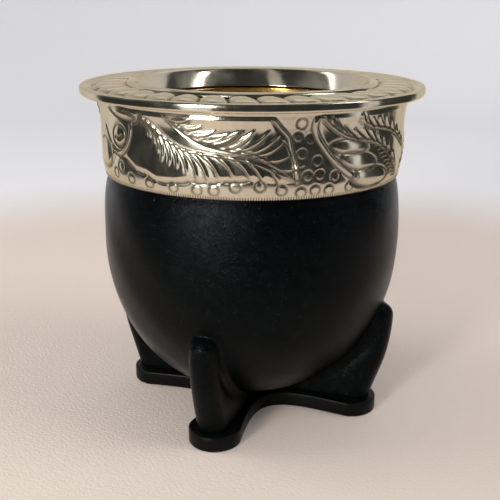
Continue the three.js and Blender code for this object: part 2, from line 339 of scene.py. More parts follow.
def hide_grain_group():
    """Leather grain: pebbles with fine creases, pores, dull patches and pale specks for dust and a painted
    sparkle.
    """
    tree, given, out = shader_group("Hide Grain", "Pebble", 1.7, ("Height", "Dull", "Tone", "DustAndSparkle"))
    vector = given.outputs["Vector"]
    warp = shader_node(tree, "ShaderNodeTexNoise", {"Vector": vector, "Scale": 0.8, "Detail": 2.0})
    bent = shader_node(
        tree,
        "ShaderNodeVectorMath",
        {0: warp.outputs["Color"], 1: (0.35, 0.35, 0.35), 2: vector},
        operation="MULTIPLY_ADD",
    ).outputs[0]
    pebbles = shader_node(
        tree,
        "ShaderNodeTexVoronoi",
        {"Vector": bent, "Scale": given.outputs["Pebble"]},
        feature="DISTANCE_TO_EDGE",
    ).outputs["Distance"]
    crease = ranged(tree, pebbles, 0.0, 0.22, 0.0, 1.0)
    fine = noise(tree, vector, 2.3, 3.0)
    coarse_height = math_node(tree, "MULTIPLY", crease, 0.5)
    height = math_node(tree, "ADD", coarse_height, math_node(tree, "MULTIPLY", fine, 1.6))
    # Rare pale specks, standing for dust and a painted sparkle of the grain
    specks = shader_node(tree, "ShaderNodeTexVoronoi", {"Vector": vector, "Scale": 3.2})
    pick = shader_node(tree, "ShaderNodeSeparateColor", {"Color": specks.outputs["Color"]}).outputs[0]
    rare = ranged(tree, pick, 0.978, 0.985, 0.0, 1.0)
    small = ranged(tree, specks.outputs["Distance"], 0.12, 0.28, 1.0, 0.0)
    dull = noise(tree, vector, 0.07, 5.0)
    tone = noise(tree, vector, 0.35, 4.0)
    dust_and_sparkle = math_node(tree, "MULTIPLY", rare, small)
    feed(tree, out, {"Height": height, "Dull": dull, "Tone": tone, "DustAndSparkle": dust_and_sparkle})
    return tree


def polish_wear_group():
    """Hand-polished metal: smudges, hairline scratches, tarnish and a slight waviness."""
    tree, given, out = shader_group("Polish Wear", "Grime", 0.5, ("Smudge", "Tarnish", "Height"))
    vector = given.outputs["Vector"]
    smudge = ranged(tree, noise(tree, vector, 0.16, 6.0, 0.65), 0.38, 0.68, 0.0, 1.0)
    tarnish = ranged(tree, noise(tree, vector, 0.3, 5.0, 0.6), 0.5, 0.8, 0.0, 1.0)
    stretched = shader_node(
        tree, "ShaderNodeMapping", {"Vector": vector, "Scale": (0.5, 0.5, 9.0), "Rotation": (0.5, 0.35, 0.0)}
    ).outputs[0]
    hairlines = ranged(tree, noise(tree, stretched, 1.4, 2.0), 0.6, 0.75, 0.0, 1.0)
    waves = noise(tree, vector, 0.14, 1.0)
    wavy = math_node(tree, "MULTIPLY", waves, 6.0)
    height = math_node(tree, "SUBTRACT", wavy, math_node(tree, "MULTIPLY", hairlines, 0.05))
    grimy = math_node(tree, "MULTIPLY", tarnish, given.outputs["Grime"])
    feed(tree, out, {"Smudge": smudge, "Tarnish": grimy, "Height": height})
    return tree


def fibre_group():
    """Plant fibre that runs upright: streaks, flecks and a rough height."""
    tree, given, out = shader_group("Plant Fibre", "Fineness", 1.0, ("Streak", "Blotch", "Height"))
    vector = given.outputs["Vector"]
    stretch = (1.0, 1.0, 0.12)
    upright = shader_node(tree, "ShaderNodeMapping", {"Vector": vector, "Scale": stretch}).outputs[0]
    streak = noise(tree, upright, given.outputs["Fineness"], 6.0, 0.7)
    blotch = noise(tree, vector, 0.09, 4.0)
    rough = math_node(tree, "ADD", streak, math_node(tree, "MULTIPLY", noise(tree, vector, 2.5), 0.4))
    feed(tree, out, {"Streak": streak, "Blotch": blotch, "Height": rough})
    return tree


class Finishes:
    """The materials, each made once, with the shared groups that they use."""

    def __init__(self):
        self.made = {}
        self.groups = {}

    def group(self, maker):
        if maker not in self.groups:
            self.groups[maker] = maker()
        return self.groups[maker]

    def get(self, maker, *values):
        key = (maker, *(tuple(value) for value in values))
        if key not in self.made:
            self.made[key] = maker(*values)
        return self.made[key]


finishes = Finishes()


def new_material(name):
    """An empty material: its tree, its shader and the object's places in millimetres."""
    material = bpy.data.materials.new(name)
    material.use_nodes = True
    tree = material.node_tree
    shader = tree.nodes["Principled BSDF"]
    place = tree.nodes.new("ShaderNodeTexCoord").outputs["Object"]
    scaled = shader_node(tree, "ShaderNodeVectorMath", {0: place, "Scale": 1 / MM}, operation="SCALE")
    return material, tree, shader, scaled.outputs[0]


def use_group(tree, maker, inputs):
    """A shared effect placed in a material."""
    return shader_node(tree, "ShaderNodeGroup", inputs, node_tree=finishes.group(maker))


def bump(tree, shader, height, depth):
    """Feeds a height, in units of the depth in metres, to the shader's normal."""
    node = shader_node(tree, "ShaderNodeBump", {"Height": height, "Distance": depth, "Strength": 1.0})
    tree.links.new(node.outputs["Normal"], shader.inputs["Normal"])


def hide_material(name, colour, pebble, rubbed, dust_and_sparkle_specks, rough, depth):
    """Dyed hide with grain, patches rubbed paler, pale specks for dust and a painted sparkle, and an uneven
    sheen.
    """
    material, tree, shader, place = new_material(name)
    grain = use_group(tree, hide_grain_group, {"Vector": place, "Pebble": pebble})
    rub_start, gain = rubbed
    paler = tuple(min(1.0, gain * part) for part in colour)
    tone = mixed(tree, ranged(tree, grain.outputs["Tone"], rub_start, 0.7, 0.0, 1.0), colour, paler)
    # The pale specks lighten the colour: dust and a painted sparkle
    amount, dust_and_sparkle = dust_and_sparkle_specks
    with_dust_and_sparkle = mixed(tree, math_node(tree, "MULTIPLY", grain.outputs["DustAndSparkle"], amount), tone, dust_and_sparkle)
    sheen = ranged(tree, grain.outputs["Dull"], 0.3, 0.7, *rough)
    feed(tree, shader, {"Base Color": with_dust_and_sparkle, "Roughness": sheen})
    bump(tree, shader, grain.outputs["Height"], depth * MM)
    return material, shader


def leather_material(colour):
    """Black cowhide with a fine grain and a soft shine."""
    # Pale specks on the hide: dust and a painted sparkle
    dust_and_sparkle_specks = (0.5, (0.25, 0.25, 0.24))
    material, shader = hide_material("black_cowhide", colour, 1.7, (0.35, 1.9), dust_and_sparkle_specks, (0.16, 0.22), 0.06)
    shader.inputs["Specular IOR Level"].default_value = 0.06
    shader.inputs["Specular Tint"].default_value = (0.84, 0.95, 1.0, 1.0)
    return material


def sole_material(colour):
    """Thick sole leather, smoother than the cover and duller."""
    # Pale specks on the sole: dust and a painted sparkle
    dust_and_sparkle_specks = (0.35, (0.3, 0.27, 0.24))
    name = "black_sole_leather"
    material, shader = hide_material(name, colour, 1.1, (0.4, 2.2), dust_and_sparkle_specks, (0.28, 0.46), 0.014)
    shader.inputs["Specular IOR Level"].default_value = 0.1
    return material


def metal_material(name, colour, tarnished, smooth, dull, grime):
    """Polished metal whose chased lines hold dark polish and whose gadroon valleys carry painted shade;
    'recess' says where they are.
    """
    material, tree, shader, place = new_material(name)
    wear = use_group(tree, polish_wear_group, {"Vector": place, "Grime": grime})
    recess = shader_node(tree, "ShaderNodeAttribute", attribute_name="recess").outputs["Fac"]
    toned = mixed(tree, wear.outputs["Tarnish"], colour, tarnished)
    # Dark polish in the chased lines, and painted shade in the flange's valleys
    dark = tuple(0.13 * part for part in colour)
    soft = ranged(tree, wear.outputs["Smudge"], 0.0, 1.0, smooth, dull)
    rough = math_node(tree, "ADD", soft, math_node(tree, "MULTIPLY", recess, 0.25))
    feed(tree, shader, {"Base Color": mixed(tree, recess, toned, dark), "Roughness": rough})
    shader.inputs["Metallic"].default_value = 1.0
    shader.inputs["Specular Tint"].default_value = (0.85, 0.76, 0.58, 1.0)
    bump(tree, shader, wear.outputs["Height"], 0.02 * MM)
    return material


def silver_material(colour):
    """Nickel silver, warm and bright."""
    return metal_material("nickel_silver", colour, (0.52, 0.45, 0.32), 0.1, 0.22, 0.55)


def brass_material(colour):
    """Yellow brass, handled less and a little dull."""
    return metal_material("polished_brass", colour, (0.3, 0.17, 0.06), 0.14, 0.3, 0.8)


def gourd_material():
    """The dried rind inside the cup."""
    material, tree, shader, place = new_material("dried_gourd")
    fibre = use_group(tree, fibre_group, {"Vector": place, "Fineness": 0.9})
    streak = ranged(tree, fibre.outputs["Streak"], 0.3, 0.7, 0.0, 1.0)
    pale = mixed(tree, streak, (0.2, 0.105, 0.04), (0.42, 0.27, 0.13))
    stain = ranged(tree, fibre.outputs["Blotch"], 0.45, 0.7, 0.0, 0.75)
    tone = mixed(tree, stain, pale, (0.1, 0.06, 0.025))
    rough = ranged(tree, fibre.outputs["Streak"], 0.3, 0.7, 0.85, 0.6)
    feed(tree, shader, {"Base Color": tone, "Roughness": rough})
    bump(tree, shader, fibre.outputs["Height"], 0.25 * MM)
    return material


def wood_material():
    """Raw wood of the leg cores."""
    material, tree, shader, place = new_material("raw_leg_wood")
    fibre = use_group(tree, fibre_group, {"Vector": place, "Fineness": 1.6})
    tone = mixed(tree, fibre.outputs["Streak"], (0.36, 0.22, 0.11), (0.58, 0.4, 0.22))
    tree.links.new(tone, shader.inputs["Base Color"])
    shader.inputs["Roughness"].default_value = 0.75
    bump(tree, shader, fibre.outputs["Height"], 0.1 * MM)
    return material


def resin_material():
    """The cast bed under the ferrule."""
    material, tree, shader, place = new_material("bedding_resin")
    clouds = noise(tree, place, 0.4, 4.0)
    tone = mixed(tree, clouds, (0.12, 0.09, 0.06), (0.24, 0.19, 0.13))
    feed(tree, shader, {"Base Color": tone, "Roughness": ranged(tree, clouds, 0.3, 0.7, 0.4, 0.65)})
    bump(tree, shader, noise(tree, place, 2.0), 0.05 * MM)
    return material


def thread_material(colour):
    """Waxed thread with its twist."""
    material, tree, shader, place = new_material("waxed_thread")
    strands = shader_node(
        tree,
        "ShaderNodeTexWave",
        {"Vector": place, "Scale": 1.3, "Distortion": 2.0, "Detail": 2.0},
        bands_direction="DIAGONAL",
    ).outputs["Fac"]
    worn = tuple(2.4 * part for part in colour)
    tree.links.new(mixed(tree, strands, colour, worn), shader.inputs["Base Color"])
    shader.inputs["Roughness"].default_value = 0.55
    bump(tree, shader, strands, 0.08 * MM)
    return material


# The leather's surface, as a distance in millimetres


class CoverForm:
    """Distance to the leather: the bowl, the shoulder and four legs run softly together."""

    leg_root = 16.0
    leg_flat = 0.4
    leg_height = 28.0
    leg_lean = 0.97
    foot_setback = 1.8
    top_proud = 0.2
    swell = 0.9
    swell_drop = 1.3
    tuck_gap = 0.3
    top_spare = 5
    uneven_broad = 0.07
    uneven_fine = 0.05
    fold_depth = 0.55
    fold_offset = 2.6
    fold_width = 0.6
    fold_height = 18.0
    fold_reach = 5.0
    seam_start = 3
    seam_fade = 4
    seam_valley = 0.75
    seam_valley_width = 0.45
    seam_lip = 0.25
    seam_lip_offset = 1.6
    seam_lip_width = 0.8

    def __init__(self, settings):
        self.radius = COVER_RADIUS - self.top_proud
        self.low = COVER_LOW
        self.equator = settings.widest_height / MM
        self.depth = self.equator - self.low
        self.power = settings.fullness
        self.blend = settings.blend / MM
        self.foot_radius = settings.leg_foot_radius / MM
        self.top_radius = settings.leg_top_radius / MM
        self.seam = settings.seam_azimuth
        self.neck = BAND_REACH - BAND_COVE - NECK_INSET
        self.shoulder = np.array(self.shoulder_points())
        self.leg_edge = np.array(self.leg_edge_points())

    def shoulder_points(self):
        rise = BAND_LOW - self.equator
        start = (self.radius, self.equator)
        swollen = (self.neck + self.swell, BAND_LOW - self.swell_drop)
        end = (self.neck, BAND_LOW - self.tuck_gap)
        line = bezier(start, (self.radius, self.equator + 2 * rise / 3), swollen, end, 40)
        return [start, *line, (self.neck, COVER_HIGH + self.top_spare)]

    def leg_edge_points(self):
        foot = SOLE_REACH - self.foot_setback - self.foot_radius
        top = self.radius + self.top_proud - self.top_radius
        high = self.low + self.leg_height - self.top_radius
        third = self.leg_height / 3
        start = (foot, self.low)
        lean = ((foot + top) / 2, self.low + third)
        return [start, *bezier(start, lean, (top, high - third), (top, high), 30)]

    def body(self, radius, height):
        """Distance to the bowl, or to the shoulder above the widest ring."""
        across = np.maximum(radius, 1e-3) / self.radius
        down = np.maximum(self.equator - height, 1e-3) / self.depth
        q = (across**self.power + down**self.power) ** (1 / self.power)
        slope_r = (across / q) ** (self.power - 1) / self.radius
        slope_z = (down / q) ** (self.power - 1) / self.depth
        bowl = (q - 1) / np.hypot(slope_r, slope_z)
        above = radius - np.interp(height, self.shoulder[:, 1], self.shoulder[:, 0])
        return np.where(height < self.equator, bowl, above)

    def leg(self, points, index):
        """Distance to one leg: an upright fin with a full round edge."""
        turn = index * 2 * math.pi / LEG_COUNT
        out = points[:, 0] * math.cos(turn) + points[:, 1] * math.sin(turn)
        side = points[:, 1] * math.cos(turn) - points[:, 0] * math.sin(turn)
        height = points[:, 2]
        edge = np.interp(height, self.leg_edge[:, 1], self.leg_edge[:, 0])
        beyond = np.maximum(self.leg_lean * (out - edge), self.leg_root - out)
        above = height - self.leg_edge[-1, 1]
        flat = np.hypot(np.maximum(beyond, 0), np.maximum(above, 0))
        thick = np.maximum(np.abs(side) - self.leg_flat / 2, 0)
        share = np.clip((height - self.low) / self.leg_height, 0, 1)
        return np.hypot(flat, thick) - (self.foot_radius + share * (self.top_radius - self.foot_radius))

    def distance(self, points):
        radius = np.hypot(points[:, 0], points[:, 1])
        skin = self.body(radius, points[:, 2])
        fold = self.fold(skin, points[:, 2])
        for index in range(LEG_COUNT):
            other = self.leg(points, index) + fold
            share = np.clip(0.5 + 0.5 * (other - skin) / self.blend, 0, 1)
            skin = other * (1 - share) + skin * share - self.blend * share * (1 - share)
        return skin + self.marks(points, radius)

    def fold(self, gap, height):
        """A fold of the leather on a leg's sides, along the body."""
        away = ((gap - self.fold_offset) / self.fold_width) ** 2
        away += ((height - self.fold_height) / self.fold_reach) ** 2
        return self.fold_depth * np.exp(-away)

    def marks(self, points, radius):
        """Unevenness of the hide and the valley of the back seam."""
        x, y, z = points.T
        uneven = self.uneven_broad * np.sin(0.21 * x + 0.13 * z) * np.sin(0.17 * y - 0.11 * z + 1.0)
        uneven += self.uneven_fine * np.sin(0.37 * z + 0.29 * x - 0.23 * y)
        azimuth = np.arctan2(x, -y) - self.seam
        across = radius * (np.mod(azimuth + math.pi, 2 * math.pi) - math.pi)
        reach = np.clip((z - self.low - self.seam_start) / self.seam_fade, 0, 1)
        valley = self.seam_valley * np.exp(-((across / self.seam_valley_width) ** 2))
        lip_place = (np.abs(across) - self.seam_lip_offset) / self.seam_lip_width
        valley -= self.seam_lip * np.exp(-(lip_place**2))
        return uneven + valley * reach

    def project(self, points, rounds=5):
        """Moves points on to the leather's surface."""
        step = 0.02
        least_slope = 0.25
        furthest = 1.5
        for _ in range(rounds):
            here = self.distance(points)
            beside = [self.distance(points + step * unit) for unit in np.eye(3)]
            slope = np.stack([(there - here) / step for there in beside], axis=1)
            length = np.maximum((slope**2).sum(1), least_slope)
            points = points - np.clip(here / length, -furthest, furthest)[:, None] * slope
        return points

    def radius_at(self, height):
        """Radius of the body at a height."""
        if height >= self.equator:
            return float(np.interp(height, self.shoulder[:, 1], self.shoulder[:, 0]))
        down = (self.equator - height) / self.depth
        return self.radius * (1 - down**self.power) ** (1 / self.power)


# The chased ornament of the band


def smooth_curve(points, fine=8):
    """A curve that passes through a few chosen points."""
    given = np.array(points, float)
    padded = np.vstack([2 * given[0] - given[1], given, 2 * given[-1] - given[-2]])
    made = []
    for a, b, c, d in zip(padded, padded[1:], padded[2:], padded[3:]):
        for q in np.arange(fine) / fine:
            bend = (2 * a - 5 * b + 4 * c - d) * q * q + (3 * b - a - 3 * c + d) * q**3
            made.append(0.5 * (2 * b + (c - a) * q + bend))
    made.append(given[-1])
    return np.array(made)


class Chasing:
    """Height of the band's ornament: hammered up and cut back, at places (along, up) in mm."""

    stem_groove = 0.22
    stem_cut = 0.2
    barb_groove = 0.24
    barb_cut = 0.16
    barb_side = 1.25
    stroke_dark = 0.9
    boss_groove = 0.26
    boss_cut = 0.16
    boss_dark = 0.6
    ring_groove = 0.22
    ring_cut = 0.13

    def __init__(self, along, up):
        self.along = along
        self.up = up
        self.height = np.zeros_like(along)
        self.cut = np.zeros_like(along)

    def near(self, line, margin):
        """Points near a line, their distance, share of the way along, and side, left positive."""
        low = line.min(0) - margin
        high = line.max(0) + margin
        across = (self.along > low[0]) & (self.along < high[0])
        pick = np.flatnonzero(across & (self.up > low[1]) & (self.up < high[1]))
        s, t = self.along[pick], self.up[pick]
        best = np.full(len(pick), margin)
        share = np.zeros(len(pick))
        side = np.ones(len(pick))
        steps = len(line) - 1
        for index in range(steps):
            run = line[index + 1] - line[index]
            ds, dt = s - line[index][0], t - line[index][1]
            q = np.clip((ds * run[0] + dt * run[1]) / max(run @ run, 1e-9), 0, 1)
            away = np.hypot(ds - q * run[0], dt - q * run[1])
            closer = away < best
            best = np.where(closer, away, best)
            share = np.where(closer, (index + q) / steps, share)
            side = np.where(closer, np.sign(run[0] * dt - run[1] * ds), side)
        return pick, best, share, side

    def mark(self, pick, height, cut):
        """Adds height, and keeps the darkest cut."""
        self.height[pick] += height
        self.cut[pick] = np.maximum(self.cut[pick], cut)

    def line(self, points, width=0.3, depth=0.24):
        """A chased line, thinner at its ends."""
        pick, away, share, _ = self.near(smooth_curve(points), 1.5)
        ends = np.clip(np.minimum(share, 1 - share) * 8, 0.35, 1)
        groove = ends * np.exp(-((away / (width * ends)) ** 2))
        self.mark(pick, -depth * groove, groove)

    def stem(self, points, width=0.6, rise=0.3):
        """A raised stem between two chased lines."""
        pick, away, share, _ = self.near(smooth_curve(points), 2.5)
        ends = np.clip(np.minimum(share, 1 - share) * 10, 0.3, 1)
        groove = ends * np.exp(-(((away - width) / self.stem_groove) ** 2))
        ridge = rise * ends * np.exp(-((away / width) ** 4))
        self.mark(pick, ridge - self.stem_cut * groove, self.stroke_dark * groove)

    def barb(self, points, width, rise):
        """A raised flame that tapers to its tip, cut in along one side."""
        pick, away, share, side = self.near(smooth_curve(points, 4), 2.0)
        thick = np.maximum(width * np.sin(math.pi * (0.25 + 0.7 * share)), 0.3)
        ends = np.clip(5 * (1 - share), 0, 1) * np.clip(0.4 + 5 * share, 0, 1)
        ridge = rise * np.exp(-((away / thick) ** 2)) * ends
        groove = np.exp(-(((away * side + self.barb_side * thick) / self.barb_groove) ** 2)) * ends
        self.mark(pick, ridge - self.barb_cut * groove, self.stroke_dark * groove)

    def frond(self, midrib, count, reach, leave, bend, width=0.42, rise=0.3, crowd=1.0):
        """Barbs along a midrib, each leaving it at one angle and bending to another."""
        line = smooth_curve(midrib)
        last = len(line) - 1
        for index in range(count):
            q = 0.02 + 0.9 * (index / (count - 1)) ** crowd
            place = q * last
            at = int(place)
            base = line[at] + (place % 1) * (line[min(at + 1, last)] - line[at])
            run = line[min(at + 2, last)] - line[max(at - 1, 0)]
            heading = math.atan2(run[1], run[0])
            taper = 0.45 + 0.55 * math.sin(math.pi * (0.12 + 0.8 * q))
            length = reach * taper * (1 + 0.1 * math.sin(5 * index))
            path = [base]
            for step in range(3):
                angle = heading + math.radians(leave + (bend - leave) * (step + 0.5) / 3)
                path.append(path[-1] + length / 3 * np.array((math.cos(angle), math.sin(angle))))
            self.barb(path, width, rise)

    def boss(self, centre, half_long, half_wide, angle, rise):
        """A smooth oval lobe with a chased edge."""
        ds, dt = self.along - centre[0], self.up - centre[1]
        turn = math.radians(angle)
        u = (ds * math.cos(turn) + dt * math.sin(turn)) / half_long
        v = (dt * math.cos(turn) - ds * math.sin(turn)) / half_wide
        q = np.hypot(u, v)
        edge = np.exp(-(((q - 1) * half_wide / self.boss_groove) ** 2))
        self.height += rise * np.clip(1 - q * q, 0, 1) - self.boss_cut * edge
        self.cut = np.maximum(self.cut, self.boss_dark * edge)

    def ring(self, centre, radius=1.2):
        """A ring punch, struck a little harder on one side."""
        ds, dt = self.along - centre[0], self.up - centre[1]
        away = np.hypot(ds, dt)
        hard = 0.72 + 0.28 * (dt - ds) / np.maximum(away, 0.1) / math.sqrt(2)
        groove = hard * np.exp(-(((away - radius) / self.ring_groove) ** 2))
        self.height -= self.ring_cut * groove
        self.cut = np.maximum(self.cut, groove)

    def field(self, corners, rise, edge):
        """Raises all that lies inside an outline, with a soft step along it."""
        closed = np.array([*corners, corners[0]], float)
        pick, away, _, _ = self.near(closed, 3 * edge)
        inside = np.zeros(len(self.along), bool)
        for (s0, t0), (s1, t1) in zip(closed, closed[1:]):
            if t0 == t1:
                continue
            crosses = (self.up < t0) != (self.up < t1)
            inside ^= crosses & (self.along < s0 + (self.up - t0) * (s1 - s0) / (t1 - t0))
        step = inside.astype(float)
        share = np.clip(away / edge, 0, 1)
        step[pick] = np.where(inside[pick], share * (2 - share), 0.0)
        self.height += rise * step


PANEL_START = -50.0


def chase_panel(work):
    """One panel of the ornament: a scroll, two feathered fronds, a stem and a broad leaf."""
    frond_edge = [(-34, 7.5), (-30, 5), (-26.5, 4.5), (-23.5, 3.2), (-18.5, 3.4), (-14, 4.2)]
    frond_field = [(-50, 2.6), (-44.5, 2.8), (-41, 4.6), (-38.5, 8), *frond_edge, (-7, 4.4), (0, 4.9)]
    frond_field += [(5, 4.5), (9.8, 4.4), (9.4, 10), (8, 14.5), (5.6, 18), (4.4, 20.5), (-50, 20.5)]
    leaf_field = [(14.4, 20.5), (14.2, 16.5), (16, 13), (19.4, 8.8), (23.6, 5), (27, 2.2), (31, 1)]
    leaf_field += [(37, 1.2), (45, 1.6), (52, 3), (58, 6.5), (66, 12), (73, 20.5)]
    work.field(frond_field, rise=0.34, edge=1.6)
    work.field(leaf_field, rise=0.24, edge=1.6)
    lower_rib = [(-27.8, 18.6), (-24.3, 16.7), (-20.8, 14), (-17.3, 12.2), (-13.9, 11.2), (-6.9, 10.4)]
    lower_rib += [(0, 9.2), (9.7, 4.8)]
    upper_rib = [(-20.1, 18.8), (-15.3, 15.4), (-11.8, 13.4), (-8.3, 12.4), (-2.8, 11.4)]
    upper_rib += [(2.1, 10), (9.4, 5.4)]
    leaf_rib = [(43.5, 4.4), (38.9, 8), (34.7, 10.6), (30.5, 12.2), (25, 13.2), (20.8, 14.9)]
    leaf_rib += [(17.3, 17.4), (15.3, 19.4)]
    side_rib = [(50, 8), (47, 9.8), (43, 12), (38.9, 13.8), (34.7, 14.8), (30.5, 15.6), (26.4, 17.6)]
    tail_rib = [(48, 4.2), (54, 7.2), (59, 10.4), (64.5, 13.6), (71, 18.4)]
    work.boss((23.8, 11.6), 5.4, 1.7, -6, 0.2)
    work.boss((27.0, 7.9), 6.0, 2.1, -12, 0.24)
    work.boss((31.6, 3.6), 6.6, 2.5, -4, 0.34)
    work.boss((-36.3, 12.6), 2.9, 2.5, 15, 0.5)
    work.boss((-45.0, 7.3), 4.2, 3.6, -30, 0.5)
    work.boss((-34.5, 18.2), 5.0, 1.3, -10, 0.35)
    work.frond(lower_rib, 15, 8.2, -14, -70, crowd=1.25)
    work.frond(upper_rib, 13, 9.6, 16, 62, width=0.55, rise=0.36)
    work.frond(leaf_rib, 13, 6.2, -12, -46, width=0.5)
    work.frond(side_rib, 9, 5.4, -12, -50)
    for side in (1, -1):
        work.frond(tail_rib, 10, 6.6, 10 * side, 56 * side, rise=0.13)
    work.stem(tail_rib, width=0.38, rise=0.1)
    for rib in (lower_rib, upper_rib, leaf_rib, side_rib):
        work.stem(rib, width=0.38, rise=0.2)
    work.stem([(4.2, 19.4), (6.2, 17), (8.3, 14.5), (9, 11.5), (10, 8.5), (10.4, 4.4)], width=0.5)
    work.line([(6.4, 14.2), (8.2, 12.2), (9.3, 9.6)])
    leaf_stem = [(14.6, 19.4), (14.2, 17), (14.6, 15.5), (16, 13), (19.4, 8.8), (23.6, 5.3), (26, 4)]
    work.stem(leaf_stem, width=0.7)
    work.line([(24, 3.6), (26.4, 2), (31.2, 0.9), (37, 1.6)], width=0.36)
    work.line([(-44.7, 14.6), (-42, 11.4), (-40.4, 9.9)], width=0.36)
    scroll = [(-41, 10), (-38.6, 8.6), (-36, 8.2), (-33.4, 9.8), (-31.8, 12.4), (-31.2, 15.6)]
    work.stem(scroll, width=0.6)
    work.line([(-27.6, 18.8), (-28.8, 16.6), (-31.2, 15.8)])
    work.line([(-38.2, 11.6), (-37.2, 12.2), (-35.6, 12), (-34.4, 13.2)], width=0.4)
    for step in range(9):
        start = (31.5 + 1.2 * step, 10.4 - step)
        middle = (36.2 + 0.85 * step, 10.2 - 1.02 * step)
        work.line([start, middle, (40.4 + 0.6 * step, 8.2 - 0.82 * step)], width=0.26)
    scallops = [(-34, 7.4), *frond_edge[1:], (-10, 4), (-7, 4.5), (0, 4.9)]
    for begin, end in zip(scallops, scallops[1:]):
        middle = ((begin[0] + end[0]) / 2, (begin[1] + end[1]) / 2 - 0.35)
        work.line([begin, middle, end], width=0.26, depth=0.16)
    rings = [(11.1, 17.8), (10.4, 14.6), (11.4, 10.6), (15.2, 8.8), (13.3, 14), (12.9, 5.5), (15.9, 5.6)]
    rings += [(20.0, 5), (-39.2, 3.0), (-36.6, 4.9), (-32.3, 2.6), (-25.9, 2.5), (-18.9, 2.3), (-12.8, 2.2)]
    rings += [(-8.7, 2.4), (-3.7, 3.4), (1.9, 3.6), (6.8, 2.6), (11.4, 1.9), (14.9, 2.2), (18.5, 2)]
    rings += [(24.4, 2.2), (48, 2.0), (54, 2.2), (60, 2.4), (66, 2.4), (71.5, 2.6), (66.5, 7), (71, 11)]
    for centre in rings:
        work.ring(centre)


# Pieces


class PieceOperator(bpy.types.Operator):
    """Base of the operators that build the gourd's pieces"""

    bl_options = {"REGISTER", "UNDO"}

    @property
    def cover(self):
        return bpy.context.scene.mate_gourd.cover

    @property
    def ferrule(self):
        return bpy.context.scene.mate_gourd.ferrule

    @property
    def silver(self):
        return finishes.get(silver_material, self.ferrule.silver)


class MATE_OT_cover(PieceOperator):
    """Leather moulded over the gourd and its four legs"""

    bl_idname = "mate_gourd.cover"
    bl_label = "Leather Cover"

    spare = 4
    sole_overlap = 0.05
    rough_rings = 40
    rough_steps = 96

    def execute(self, context):
        form = CoverForm(self.cover)
        bm = self.rough_body(form)
        for index in range(LEG_COUNT):
            self.add_rough_leg(bm, form, index)
        hide = finishes.get(leather_material, self.cover.colour)
        piece = finish_piece(bm, "cover_hide", ["leather_cover"], hide)
        remesh = piece.modifiers.new("Run together", "REMESH")
        remesh.mode = "VOXEL"
        remesh.voxel_size = self.cover.voxel
        apply_modifiers(piece)
        set_mesh_points(piece.data, form.project(mesh_points(piece.data)))
        self.trim(piece.data, form)
        piece.data.shade_smooth()
        wall = piece.modifiers.new("Hide thickness", "SOLIDIFY")
        wall.thickness = self.cover.thickness
        wall.offset = -1
        return {"FINISHED"}

    def rough_body(self, form):
        """The gourd's outline, turned."""
        top = COVER_HIGH + self.spare
        heights = np.linspace(form.low, top, self.rough_rings)[1:]
        rings = [(form.radius_at(height), height) for height in heights]
        return spun([(0, form.low), *rings, (0, top)], self.rough_steps, closed=False)

    def add_rough_leg(self, bm, form, index):
        """A fin under the leather: its outline drawn upright, thickened and rounded."""
        grown = 0.7 * form.top_radius
        edge = [(out + grown, height) for out, height in form.leg_edge[::3]]
        top = edge[-1][1] + grown
        foot = form.low - 2 * grown
        root = form.leg_root - grown
        outline = [(root, foot), (edge[0][0], foot), *edge, (edge[-1][0] - grown, top), (root, top)]
        half = form.leg_flat / 2 + grown
        leg = prism(bm, [(out, -half, height) for out, height in outline], (0, 2 * half, 0))
        faces = list({face for vert in leg for face in vert.link_faces})
        bmesh.ops.recalc_face_normals(bm, faces=faces)
        rotate(bm, leg, index * 2 * math.pi / LEG_COUNT)

    def trim(self, mesh, form):
        """Opens the leather at the sole and at its top under the ferrule."""
        bm = bmesh.new()
        bm.from_mesh(mesh)
        for height, normal in ((form.low - self.sole_overlap, -AXIS), (COVER_HIGH, AXIS)):
            geom = bm.verts[:] + bm.edges[:] + bm.faces[:]
            plane = (0, 0, height * MM)
            bmesh.ops.bisect_plane(bm, geom=geom, plane_co=plane, plane_no=normal, clear_outer=True)
        bm.to_mesh(mesh)
        bm.free()


